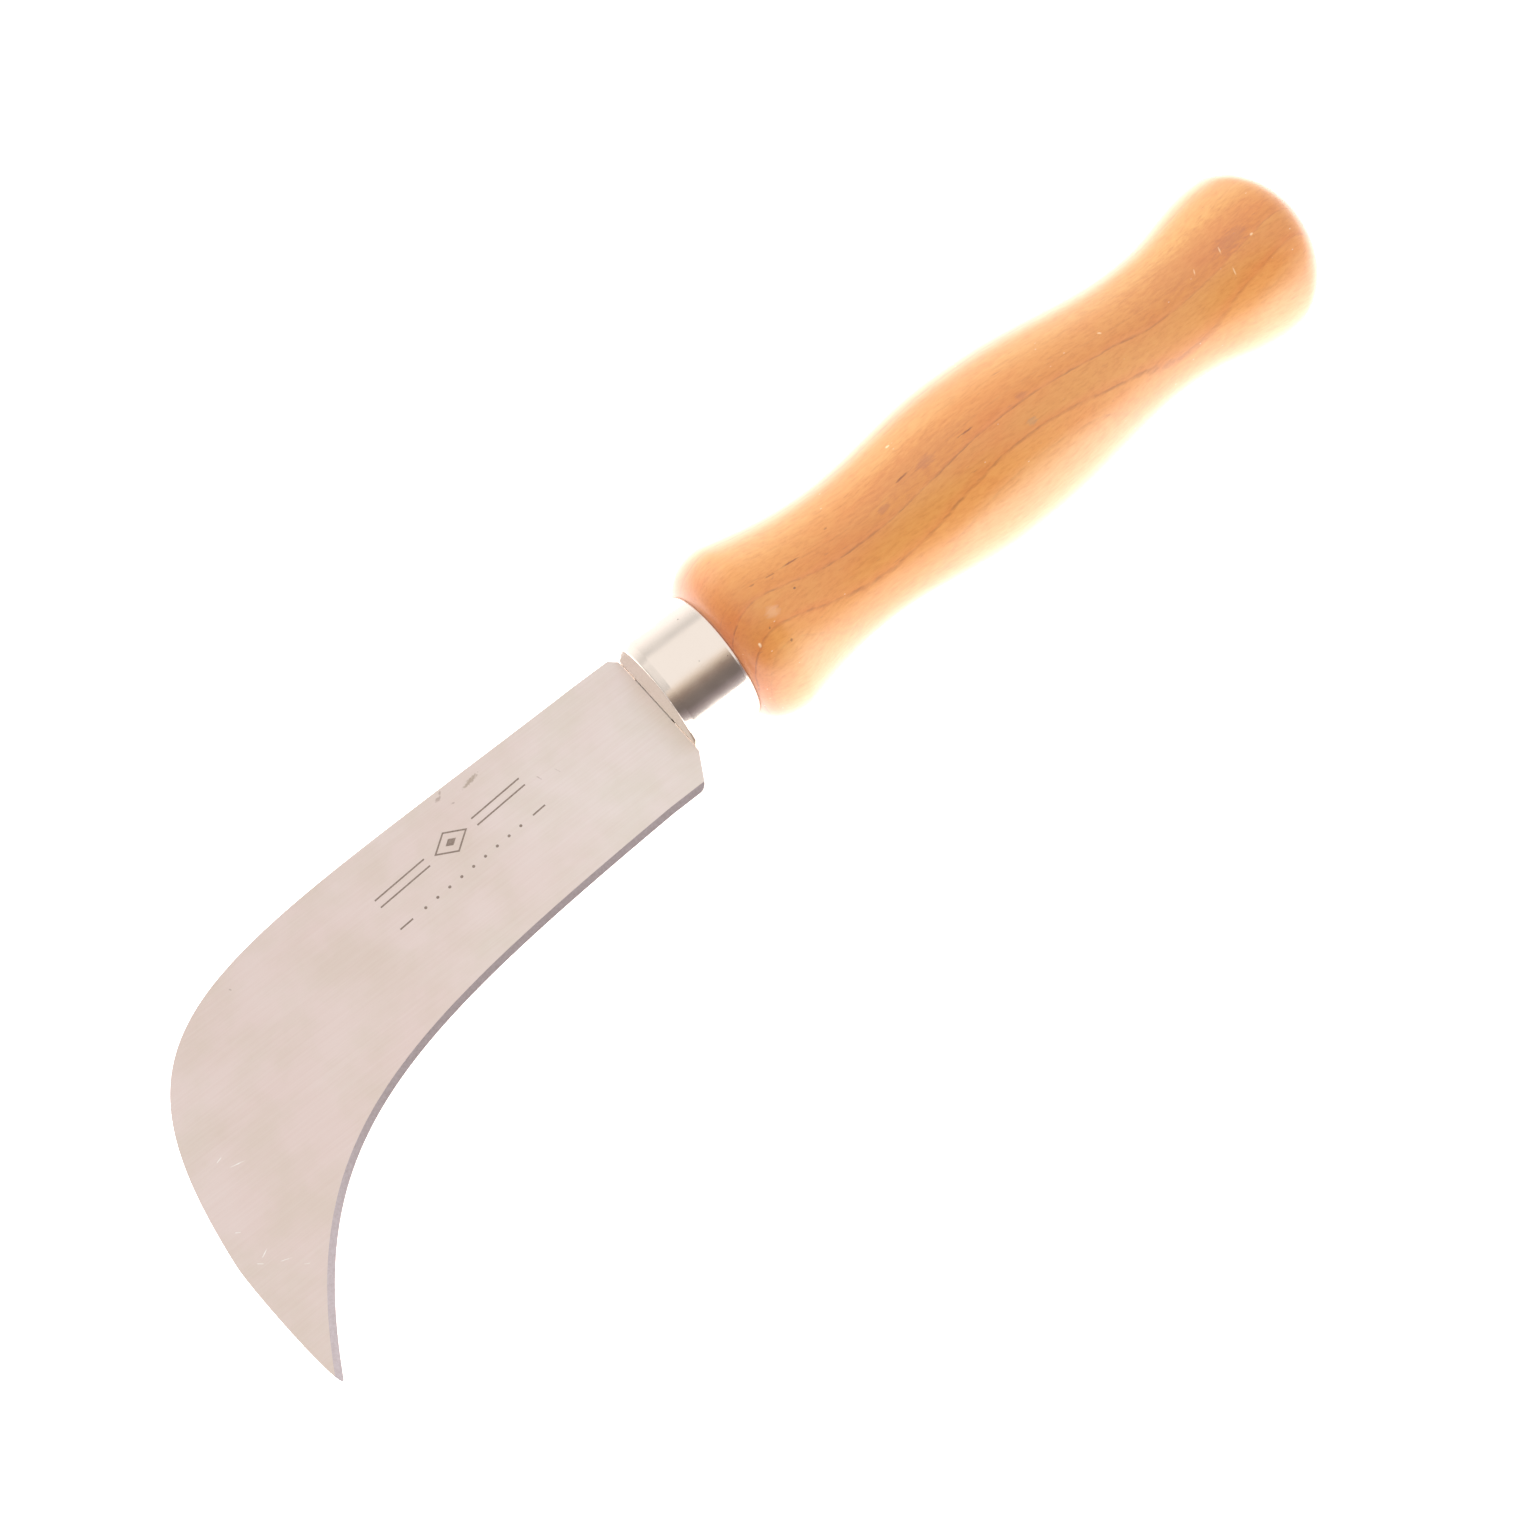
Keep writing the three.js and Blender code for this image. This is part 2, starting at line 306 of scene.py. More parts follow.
# Handle. The ferrule's sizes stand here too, because the tenon and the shoulder are cut to it.
ferruleLook = {
    "segments": 128,
    "diameter": 22.2,
    "length": 12.25,
    "wall": 0.8,
    # crease radius, cone length, corner radius and lean of the folded ends, front and rear
    "bend": (0.5, 1.25, 0.3, 22),
    "rim": (0.4, 0.4, 0.12, 9),
    "straight": 0.2,  # left straight before a fold
    "flatShort": 0.3,  # how far inside the corner the front face is flat
    "insideTurn": 1.6,  # where the inside of the cup turns in, and its corner
    "insideRound": 0.3,
    "insideSteps": 6,
    "slotHeight": 9.6,
    "slotWidth": 2.1,
    "slotFrom": -14,  # right through the front wall
    "slotTo": -10,
    "sharpAngle": 40,
    "plate": "#F4E7DB",
    "dust": "#B9AA9C",
}
handleLook = {
    "segments": 144,
    "tenonGap": 0.1,
    "tenonChamfer": 0.9,
    "shoulderAt": 0.03,
    "shoulderTurn": 14,  # how far round its curve the shoulder starts
    "shoulderSteps": 24,
    "collarAt": 7,
    "collarDiameter": 30.5,
    # waists and swells: at, diameter, and how late the curve between them turns
    "stations": [(27, 25, 0.65), (54.6, 30.3, 1), (91, 24, 1.25), (114, 30.4, 1.3)],
    "stationSteps": 28,
    "buttLength": 9.3,
    "buttFullness": 2.05,
    "buttSteps": 32,
    "boreDiameter": 11.2,
    "boreEnd": 56,
    "drillPoint": 3.365,
    "sharpAngle": 40,
    "pith": (0, 65.9, -10.9),  # the tree's centre, beside the handle
    "waver": 0.9,
    "ripple": 0.22,
    "line": "#8A4F30",
    "lineWidth": 0.17,
    "clearLine": 0.25,  # weaker lines have no late wood and a soft edge
    "lateWood": "#EC9E55",
    "lateWidth": 0.9,
    "clearEdge": 0.12,
    "softEdge": 1.6,
    "lastEdge": 0.7,
    # partly painted light: the wood past the last ring lies along one side of the handle and is
    # toned to that side's lighting
    "outerWood": "#F7BC7F",
    "fleck": "#A8613A",
    "nick": "#F6D7B4",
    # painted shade in the corner against the ferrule
    "corner": "#EDD0B0",
    "markHeight": 13,  # marks only on the upper side
    "markDepth": 6,
}

woodMarks = [
    (100, -1, 36, 10, 0, 0.3, "#D07B42"),  # redder wood
    (40, -1, 28, 8, 0, 0.3, "#D07B42"),
    (41.6, -2.2, 4.5, 2.2, -5, 0.35, "#B0674A"),  # stained grain
    (32.1, -3.6, 3.0, 1.6, 5, 0.3, "#B0674A"),
    (60.2, -3.6, 3.0, 1.4, -8, 0.3, "#B0674A"),
    (105.9, -3.2, 8.0, 4.0, -5, 0.3, "#B46A4C"),
    (58.9, -7.5, 2.4, 1.2, 0, 0.25, "#9B8A76"),
    (14.6, -2.1, 5.6, 0.35, 1, 0.75, "#8A4722"),  # open pores, dark with handling
    (10.6, -2.3, 2.4, 0.3, 0, 0.5, "#8A4722"),
    (37.2, -1.7, 3.5, 0.42, 2, 0.75, "#8A4722"),
    (49.1, -2.8, 3.6, 0.4, -4, 0.75, "#8A4722"),
    (22.9, -0.6, 0.9, 0.4, 0, 0.5, "#8A4722"),
    (7.5, -2.2, 1.2, 0.4, 0, 0.5, "#8A4722"),
    (12.6, -5.7, 0.6, 0.45, 20, 0.8, "#6E4A30"),
    (5.6, -8.4, 0.5, 0.4, 30, 0.6, "#6E4A30"),
    (7.4, -11.0, 0.7, 0.45, 40, 0.6, "#6E4A30"),
    (3.1, -8.9, 0.7, 0.7, 0, 0.95, "#FFE2B8"),  # pale chips and scratches in the lacquer
    (7.4, -6.9, 3.0, 2.2, 0, 0.3, "#F6C9A4"),
    (39.5, 4.3, 0.9, 0.5, 0, 0.8, "#FFDDAA"),
    (103.6, -3.2, 1.5, 0.3, 70, 0.6, "#FFDDAA"),
    (103.4, -7.0, 1.6, 0.3, 80, 0.6, "#FFDDAA"),
    (109.0, -4.7, 0.7, 0.5, 0, 0.7, "#FFDDAA"),
    (98.3, -3.0, 1.3, 0.3, 60, 0.6, "#FFDDAA"),
    (78.2, -2.1, 0.9, 0.4, -30, 0.7, "#FFDDAA"),
]

# Growth rings: distance from the pith, colour of the wood up to that line, how dark the line is.
# The rings run across the handle's width, so these colours are partly the wood's own tone and
# partly painted light, set ring by ring to the lighting across the handle and toned down under its
# bright edge.
ringLines = [
    (54.5, "#F3AB59", 0.5),
    (58.5, "#F2A957", 0.45),
    (62.0, "#F1A753", 0.3),
    (65.4, "#F0AC60", 0.1),
    (68.9, "#F0B570", 0.06),
    (72.4, "#EDA75B", 0.16),
    (74.7, "#E99C4B", 0.62),
    (78.26, "#ECA657", 0.68),
    (80.05, "#F1AA5C", 0.2),
]
ringFrom, ringTo = 51.0, 84.0


def ringStops():  # colours of the wood, partly painted light, and of its lines, from ringFrom to ringTo
    look = handleLook
    tones, lines = [(0.0, ringLines[0][1])], [(0.0, 0.0)]

    def share(distance):
        return (distance - ringFrom) / (ringTo - ringFrom)

    for i, (at, tone, strength) in enumerate(ringLines):
        last = i == len(ringLines) - 1
        after = look["outerWood"] if last else ringLines[i + 1][1]
        if strength > look["clearLine"]:
            tones.append((share(at - look["lateWidth"]), tone))
            tones.append((share(at), look["lateWood"]))
            tones.append((share(at + look["clearEdge"]), after))
        else:
            softness = look["lastEdge"] if last else look["softEdge"]
            tones.append((share(at - softness), tone))
            tones.append((share(at + softness), after))
        lines.append((share(at - look["lineWidth"]), 0.0))
        lines.append((share(at), strength))
        lines.append((share(at + look["lineWidth"] * 0.7), 0.0))  # sharper on the outer side
    return tones, lines


def beechWood():
    look = handleLook
    material, tree = newMaterial("beech, turned and lacquered")  # honey wood under a satin film
    space = patternSpace(tree)

    # distance from the pith, with a slow waver and a ripple of about a millimetre
    away = addNode(tree, "ShaderNodeVectorMath", {0: space, 1: look["pith"]}, operation="SUBTRACT")
    across = addNode(tree, "ShaderNodeVectorMath", {
        0: away.outputs[0], 1: (0, 1, 1),
    }, operation="MULTIPLY")
    distance = addNode(tree, "ShaderNodeVectorMath", {0: across.outputs[0]}, operation="LENGTH")
    waver = addNode(tree, "ShaderNodeTexNoise", {
        "Vector": patternSpace(tree, (0.12, 1, 1)), "Scale": 0.3, "Detail": 1,
    })
    ripple = addNode(tree, "ShaderNodeTexNoise", {
        "Vector": patternSpace(tree, (0.5, 1, 1)), "Scale": 1.3, "Detail": 2,
    })
    wavered = addNode(tree, "ShaderNodeMath", {
        0: waver.outputs["Fac"], 1: look["waver"], 2: distance.outputs["Value"],
    }, operation="MULTIPLY_ADD")
    rippled = addNode(tree, "ShaderNodeMath", {
        0: ripple.outputs["Fac"], 1: look["ripple"], 2: wavered.outputs[0],
    }, operation="MULTIPLY_ADD")
    centred = (look["waver"] + look["ripple"]) / 2
    ring = addNode(tree, "ShaderNodeMapRange", {
        "Value": rippled.outputs[0], "From Min": ringFrom + centred, "From Max": ringTo + centred,
    })
    tones, lines = ringStops()
    tone = addNode(tree, "ShaderNodeValToRGB", {"Fac": ring.outputs["Result"]}, tones)
    line = addNode(tree, "ShaderNodeValToRGB", {"Fac": ring.outputs["Result"]}, lines)

    # the lines break up along their length, in pieces of about 3 mm, and fade towards the butt
    broken = addNode(tree, "ShaderNodeTexNoise", {
        "Vector": patternSpace(tree, (0.35, 1, 1)), "Scale": 0.9, "Detail": 3,
    })
    kept = addNode(tree, "ShaderNodeMapRange", {
        "Value": broken.outputs["Fac"], "From Min": 0.38, "From Max": 0.62, "To Min": 0.15,
    })
    along = addNode(tree, "ShaderNodeSeparateXYZ", {"Vector": space})
    fading = addNode(tree, "ShaderNodeMapRange", {
        "Value": along.outputs["X"], "From Min": 72, "From Max": 100, "To Min": 1, "To Max": 0.4,
    })
    strong = addNode(tree, "ShaderNodeMath", {
        0: kept.outputs["Result"], 1: fading.outputs["Result"],
    }, operation="MULTIPLY")
    lineMask = addNode(tree, "ShaderNodeMath", {
        0: line.outputs["Color"], 1: strong.outputs[0],
    }, operation="MULTIPLY")
    colour = addNode(tree, "ShaderNodeMix", {
        0: lineMask.outputs[0], 6: tone.outputs["Color"], 7: toLinear(look["line"]),
    }, data_type="RGBA").outputs[2]

    # soft clouds of redder and yellower wood, 7 mm across and 20 mm long
    cloud = addNode(tree, "ShaderNodeTexNoise", {
        "Vector": patternSpace(tree, (0.35, 1, 1)), "Scale": 0.14, "Detail": 3,
    })
    cloudTone = addNode(tree, "ShaderNodeValToRGB", {"Fac": cloud.outputs["Fac"]}, [
        (0.3, "#F4DFCC"), (0.5, "#F4ECDC"), (0.7, "#F5F0DE"),
    ])
    colour = addNode(tree, "ShaderNodeMix", {
        0: 1.0, 6: colour, 7: cloudTone.outputs["Color"],
    }, data_type="RGBA", blend_type="MULTIPLY").outputs[2]

    # painted shade: the wood is multiplied darker and redder in the corner against the ferrule,
    # where the lacquer otherwise shows a pale glare
    corner = addNode(tree, "ShaderNodeMapRange", {
        "Value": along.outputs["X"], "From Min": 6, "From Max": 0.5,
    })
    colour = addNode(tree, "ShaderNodeMix", {
        0: corner.outputs["Result"], 6: colour, 7: toLinear(look["corner"]),
    }, data_type="RGBA", blend_type="MULTIPLY").outputs[2]

    # fibres of about 0.02 mm, drawn 0.45 mm wide and 2 mm long so that they show
    fibre = addNode(tree, "ShaderNodeTexNoise", {
        "Vector": patternSpace(tree, (0.22, 1, 1)), "Scale": 2.2, "Detail": 4, "Roughness": 0.65,
    })
    fibreTone = addNode(tree, "ShaderNodeValToRGB", {"Fac": fibre.outputs["Fac"]}, [
        (0.3, "#F1E4DA"), (0.5, "#FCF6F1"), (0.66, "#FFFFFF"),
    ])
    colour = addNode(tree, "ShaderNodeMix", {
        0: 1.0, 6: colour, 7: fibreTone.outputs["Color"],
    }, data_type="RGBA", blend_type="MULTIPLY").outputs[2]

    # ray flecks, 0.6 mm wide and up to 4 mm long
    fleck = addNode(tree, "ShaderNodeTexNoise", {
        "Vector": patternSpace(tree, (0.16, 1, 1)), "Scale": 1.6, "Detail": 2,
    })
    fleckMask = addNode(tree, "ShaderNodeMapRange", {
        "Value": fleck.outputs["Fac"], "From Min": 0.7, "From Max": 0.8, "To Max": 0.4,
    })
    colour = addNode(tree, "ShaderNodeMix", {
        0: fleckMask.outputs["Result"], 6: colour, 7: toLinear(look["fleck"]),
    }, data_type="RGBA").outputs[2]

    # pale nicks in the lacquer, 0.2 mm across and about 3 mm apart
    nick = addNode(tree, "ShaderNodeTexVoronoi", {
        "Vector": patternSpace(tree, (0.8, 1.6, 1.6)), "Scale": 0.33, "Randomness": 1.0,
    })
    nickMask = addNode(tree, "ShaderNodeMapRange", {
        "Value": nick.outputs["Distance"], "From Min": 0.05, "From Max": 0.035, "To Max": 0.7,
    })
    colour = addNode(tree, "ShaderNodeMix", {
        0: nickMask.outputs["Result"], 6: colour, 7: toLinear(look["nick"]),
    }, data_type="RGBA").outputs[2]
    colour = addMarks(
        tree, space, fibre.outputs["Fac"], woodMarks, colour, look["markHeight"], look["markDepth"],
    )

    # lines and fibres under the film, and dull patches where it has been held
    heights = addNode(tree, "ShaderNodeMath", {
        0: lineMask.outputs[0], 1: -0.8, 2: fibre.outputs["Fac"],
    }, operation="MULTIPLY_ADD")
    bump = addNode(tree, "ShaderNodeBump", {
        "Height": heights.outputs[0], "Strength": 0.25, "Distance": 0.1 * mm,
    })
    roughness = addNode(tree, "ShaderNodeMapRange", {
        "Value": cloud.outputs["Fac"], "To Min": 0.42, "To Max": 0.58,
    })
    shader = addNode(tree, "ShaderNodeBsdfPrincipled", {
        "Base Color": colour,
        "Roughness": roughness.outputs["Result"],
        "IOR": 1.5,
        "Normal": bump.outputs["Normal"],
        "Coat Weight": 0.8,
        "Coat Roughness": 0.25,
        "Coat IOR": 1.5,
        "Sheen Weight": 0.42,
        "Sheen Roughness": 0.45,
    })
    addNode(tree, "ShaderNodeOutputMaterial", {"Surface": shader.outputs["BSDF"]})
    return material


def handleProfile():
    look = handleLook
    fitted = ferruleLook["wall"] + look["tenonGap"]
    ferruleRadius = ferruleLook["diameter"] / 2
    tenonRadius = ferruleRadius - fitted
    tenonFront = fitted - ferruleLook["length"]
    chamfer = look["tenonChamfer"]
    bore = look["boreDiameter"] / 2
    points = [
        (look["boreEnd"] + look["drillPoint"], 0),
        (look["boreEnd"], bore),
        (tenonFront, bore),
        (tenonFront, tenonRadius - chamfer),
        (tenonFront + chamfer, tenonRadius),
        (look["shoulderAt"], tenonRadius),
    ]

    # shoulder: the last part of a quarter turn, flush with the ferrule
    start = math.radians(look["shoulderTurn"])
    length = (look["collarAt"] - look["shoulderAt"]) / math.cos(start)
    height = (look["collarDiameter"] / 2 - ferruleRadius) / (1 - math.sin(start))
    for step in range(look["shoulderSteps"] + 1):
        angle = start + step / look["shoulderSteps"] * (math.pi / 2 - start)
        x = look["shoulderAt"] + length * (math.cos(start) - math.cos(angle))
        points.append((x, ferruleRadius + height * (math.sin(angle) - math.sin(start))))

    # waists and swells
    fromX, fromDiameter = look["collarAt"], look["collarDiameter"]
    for at, diameter, lean in look["stations"]:
        for step in range(1, look["stationSteps"] + 1):
            share = step / look["stationSteps"]
            blend = (1 - math.cos(math.pi * share ** lean)) / 2
            radius = (fromDiameter + (diameter - fromDiameter) * blend) / 2
            points.append((fromX + (at - fromX) * share, radius))
        fromX, fromDiameter = at, diameter

    # butt
    power = 2 / look["buttFullness"]
    for step in range(1, look["buttSteps"]):
        angle = step / look["buttSteps"] * math.pi / 2
        x = fromX + look["buttLength"] * math.sin(angle) ** power
        points.append((x, fromDiameter / 2 * math.cos(angle) ** power))
    points.append((fromX + look["buttLength"], 0))
    return points


wood = beechWood()
handleMesh = turn(handleProfile(), handleLook["segments"])
handle = buildObject("turned_handle", handleMesh, wood, handleLook["sharpAngle"])
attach(handle, "root")
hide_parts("handle")
print("handle turned")


# Ferrule
def nickelPlate():
    look = ferruleLook
    material, tree = newMaterial("nickel plate, polished")  # a warm mirror, a little dulled
    space = patternSpace(tree)
    # smears about 3 mm across
    smear = addNode(tree, "ShaderNodeTexNoise", {"Vector": space, "Scale": 0.35, "Detail": 3})
    roughness = addNode(tree, "ShaderNodeMapRange", {
        "Value": smear.outputs["Fac"],
        "From Min": 0.3,
        "From Max": 0.7,
        "To Min": 0.1,
        "To Max": 0.2,
    })
    # polishing grit of about 0.1 mm, drawn at 0.25 mm so that it shows
    pits = addNode(tree, "ShaderNodeTexNoise", {
        "Vector": space, "Scale": 4.0, "Detail": 3, "Roughness": 0.7,
    })
    # marks left by the draw die, 0.3 mm wide, round the ferrule
    drawn = addNode(tree, "ShaderNodeTexNoise", {
        "Vector": patternSpace(tree, (3, 0.08, 0.08)), "Scale": 1.2, "Detail": 2,
    })
    heights = addNode(tree, "ShaderNodeMath", {
        0: drawn.outputs["Fac"], 1: 0.35, 2: pits.outputs["Fac"],
    }, operation="MULTIPLY_ADD")
    bump = addNode(tree, "ShaderNodeBump", {
        "Height": heights.outputs[0], "Strength": 0.06, "Distance": 0.1 * mm,
    })
    # specks of dust, 0.2 mm across and about 2 mm apart
    dust = addNode(tree, "ShaderNodeTexVoronoi", {
        "Vector": space, "Scale": 0.55, "Randomness": 1.0,
    })
    dustMask = addNode(tree, "ShaderNodeMapRange", {
        "Value": dust.outputs["Distance"], "From Min": 0.075, "From Max": 0.05,
    })
    colour = addNode(tree, "ShaderNodeMix", {
        0: dustMask.outputs["Result"], 6: toLinear(look["plate"]), 7: toLinear(look["dust"]),
    }, data_type="RGBA").outputs[2]
    shader = addNode(tree, "ShaderNodeBsdfPrincipled", {
        "Base Color": colour,
        "Metallic": 1.0,
        "Roughness": roughness.outputs["Result"],
        "Normal": bump.outputs["Normal"],
    })
    addNode(tree, "ShaderNodeOutputMaterial", {"Surface": shader.outputs["BSDF"]})
    return material


# A crease, a short cone and a rounded corner, from the side to the end face, as (distance from
# the end face, radius).
def foldedEnd(creaseRadius, coneLength, cornerRadius, lean, outer):
    creaseSteps, cornerSteps = 6, 8
    leanAngle = math.radians(lean)
    sine, cosine = math.sin(leanAngle), math.cos(leanAngle)
    length = creaseRadius * sine + coneLength * cosine + cornerRadius * (1 - sine)
    points = [(length + ferruleLook["straight"], outer)]
    for step in range(creaseSteps + 1):
        angle = leanAngle * step / creaseSteps
        x = length - creaseRadius * math.sin(angle)
        points.append((x, outer - creaseRadius * (1 - math.cos(angle))))
    coneX, coneOuter = points[-1]
    for share in (0.15, 0.85):  # these keep the shading of the cone off its ends
        points.append((coneX - coneLength * cosine * share, coneOuter - coneLength * sine * share))
    cornerOuter = coneOuter - coneLength * sine - cornerRadius * cosine
    for step in range(cornerSteps + 1):
        angle = leanAngle + (math.pi / 2 - leanAngle) * step / cornerSteps
        x = cornerRadius * (1 - math.sin(angle))
        points.append((x, cornerOuter + cornerRadius * math.cos(angle)))
    return points


def ferruleProfile():
    look = ferruleLook
    outer = look["diameter"] / 2
    inner = outer - look["wall"]
    front = -look["length"]
    turnX = front + look["insideTurn"]
    bend = foldedEnd(*look["bend"], outer)
    rim = foldedEnd(*look["rim"], outer)
    points = [(front, 0), (front, bend[-1][1] - look["flatShort"])]
    points += [(front + x, radius) for x, radius in bend[::-1]]
    points += [(-x, radius) for x, radius in rim]
    points += [(0, inner), (turnX, inner)]
    corner = look["insideRound"]
    depth = look["insideTurn"] - look["wall"]
    points += arc(turnX, inner - corner, depth, corner, 90, 180, look["insideSteps"])[1:]
    points.append((front + look["wall"], 0))
    return points


def slotMesh():
    look = ferruleLook
    low = (look["slotFrom"], -look["slotHeight"] / 2, -look["slotWidth"] / 2)
    high = (look["slotTo"], look["slotHeight"] / 2, look["slotWidth"] / 2)
    bm = bmesh.new()
    bmesh.ops.create_cube(bm, size=1)
    for vert in bm.verts:
        vert.co = place(*[low[i] if vert.co[i] < 0 else high[i] for i in range(3)])
    return bm


nickel = nickelPlate()
ferruleMesh = turn(ferruleProfile(), ferruleLook["segments"])
ferrule = buildObject("drawn_ferrule", ferruleMesh, nickel, ferruleLook["sharpAngle"])
boolean(ferrule, buildObject("slot_cutter", slotMesh(), nickel), "DIFFERENCE")
ferrule.data.set_sharp_from_angle(angle=math.radians(ferruleLook["sharpAngle"]))
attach(ferrule, "root")
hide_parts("ferrule")
print("ferrule drawn")

# Blade
bladeLook = {
    "thickness": 1.5,
    "reach": 95,
    "seatGap": 0.1,  # between the shoulders and the ferrule
    "spineRise": 10.3,
    "spineCorner": 1.3,
    "spineStraight": 8,
    "spineAngle": 1.2,
    "spinePulls": (0.72, 0.467),  # reach of the curve's two handles, as shares of its span
    "heelDrop": 17.05,
    "heelStep": 0.5,  # how far below the ferrule the heel starts to slant
    "heelSlant": 3,
    "heelRadius": 1.2,
    "edgeStraight": 6,
    "edgeAngle": 2.4,
    "edgePulls": (0.58, 0.36),
    "backDrop": 30.9,  # the hook's outermost point, below the axis
    "backPull": 3,
    "tipDrop": 52.75,
    "tipSetback": 3.4,
    "tipAngle": 67.2,
    "tipRadius": 0.4,
    "tipPull": 0.4,  # how full the back is above the tip
    "tipLean": 0.3,
    "curveSteps": 110,
    "backSteps": 20,
    "tipSteps": 6,
    "heelSteps": 8,
    "grindWidth": 0.85,
    "grindLand": 0.16,  # thickness left along the edge
    "sheetPast": 6,  # how far the ground sheet passes the blade where it isn't ground
    "tangLength": 62,
    "tangRoot": 9,
    "tangEnd": 6.5,
    "tangChamfer": 1.5,
    "notches": 3,
    "notchPitch": 12,
    "notchRadius": 0.9,
    "notchSteps": 8,
    "sharpAngle": 20,
    "steelWarm": "#E8D5CE",  # towards the hook
    "steelCool": "#EDE0DA",  # towards the ferrule
    "bevelDark": "#C2B5B6",
    "bevelLight": "#D2C7CA",
    "markDepth": 50,  # deep enough for both flats
}
seatX = -ferruleLook["length"] - bladeLook["seatGap"]  # plane of the blade's shoulders
backX = seatX - bladeLook["reach"]
tip = Vector((backX + bladeLook["tipSetback"], -bladeLook["tipDrop"]))
back = Vector((backX, -bladeLook["backDrop"]))


def edgeCurve():
    look = bladeLook
    start = Vector((seatX - look["heelSlant"] - look["edgeStraight"], -look["heelDrop"]))
    end = tip + direction(look["tipAngle"], look["tipRadius"] * 2)
    span = (end - start).length
    startPull = start - direction(look["edgeAngle"], span * look["edgePulls"][0])
    endPull = end + direction(look["tipAngle"], span * look["edgePulls"][1])
    return cubic(start, startPull, endPull, end, look["curveSteps"])


def spineCurve():
    look = bladeLook
    start = Vector((seatX - look["spineStraight"], look["spineRise"]))
    span = (back - start).length
    startPull = start - direction(look["spineAngle"], span * look["spinePulls"][0])
    endPull = back + direction(90, span * look["spinePulls"][1])
    return cubic(start, startPull, endPull, back, look["curveSteps"])


def backToTip():
    look = bladeLook
    endPull = tip + Vector((-look["tipSetback"] * look["tipPull"], look["backPull"]))
    return cubic(back, back - Vector((0, look["backPull"])), endPull, tip.copy(), look["backSteps"])


def tangSide(side):
    look = bladeLook
    endX = seatX + look["tangLength"]
    chamfer = look["tangChamfer"]

    def halfWidth(x):
        narrowing = (look["tangEnd"] - look["tangRoot"]) * (x - seatX) / look["tangLength"]
        return (look["tangRoot"] + narrowing) / 2

    points = [(seatX, halfWidth(seatX))]
    for i in range(look["notches"]):
        centre = endX - (look["notches"] - i) * look["notchPitch"] + look["notchPitch"] / 2
        for step in range(look["notchSteps"] + 1):
            angle = math.pi * (1 - step / look["notchSteps"])
            x = centre + look["notchRadius"] * math.cos(angle)
            points.append((x, halfWidth(x) - look["notchRadius"] * math.sin(angle)))
    points += [(endX - chamfer, halfWidth(endX - chamfer)), (endX, halfWidth(endX) - chamfer)]
    return [Vector((x, y * side)) for x, y in points]


def bladeOutline():
    look = bladeLook
    heel = Vector((seatX - look["heelSlant"], -look["heelDrop"]))
    heelTop = Vector((seatX, -ferruleLook["diameter"] / 2 - look["heelStep"]))
    heelStart = heel - Vector((look["heelRadius"], 0))
    heelEnd = heel + (heelTop - heel).normalized() * look["heelRadius"]
    tipStart = tip + Vector((-look["tipRadius"] * look["tipLean"], look["tipRadius"]))
    edge = edgeCurve()[::-1]
    points = [
        Vector((seatX, look["spineRise"] - look["spineCorner"])),
        Vector((seatX - look["spineCorner"], look["spineRise"])),
    ]
    points += spineCurve() + backToTip()[1:-1]
    points += quadratic(tipStart, tip, edge[0], look["tipSteps"])[:-1] + edge
    points += quadratic(heelStart, heel, heelEnd, look["heelSteps"]) + [heelTop]
    return points + tangSide(-1) + tangSide(1)[::-1]


# Outline of the sheet that the blade is ground from: past the blade everywhere except along the
# cutting edge.
def groundOutline():
    look = bladeLook
    past = look["sheetPast"]
    edge = edgeCurve()
    tipSide = edge[-1] - direction(look["tipAngle"], past)
    nearX, farX = backX - past, seatX + look["tangLength"] + past
    top = look["spineRise"] + past
    corners = [tipSide, Vector((nearX, tipSide.y)), Vector((nearX, top)), Vector((farX, top))]
    return [Vector((farX, -look["heelDrop"]))] + edge + corners


def shrink(outline, width):  # each corner moves in square to both of its sides
    sharpest = 0.2  # keeps very sharp corners from running away
    area = sum(a.x * b.y - b.x * a.y for a, b in zip(outline, outline[1:] + outline[:1]))
    inwards = 1 if area < 0 else -1
    moved = []
    for i, point in enumerate(outline):
        before = (point - outline[i - 1]).normalized()
        after = (outline[(i + 1) % len(outline)] - point).normalized()
        sideBefore, sideAfter = Vector((-before.y, before.x)), Vector((-after.y, after.x))
        middle = (sideBefore + sideAfter).normalized()
        moved.append(point - middle * (width / max(middle.dot(sideAfter), sharpest)) * inwards)
    return moved


def layered(levels):  # a closed solid through outlines at rising heights
    bm = bmesh.new()
    rings = [[bm.verts.new(place(p.x, p.y, z)) for p in outline] for outline, z in levels]
    count = len(rings[0])
    for low, high in zip(rings, rings[1:]):
        for i in range(count):
            j = (i + 1) % count
            bm.faces.new([low[i], low[j], high[j], high[i]])
    bm.faces.new(rings[0][::-1])
    bm.faces.new(rings[-1])
    return bm


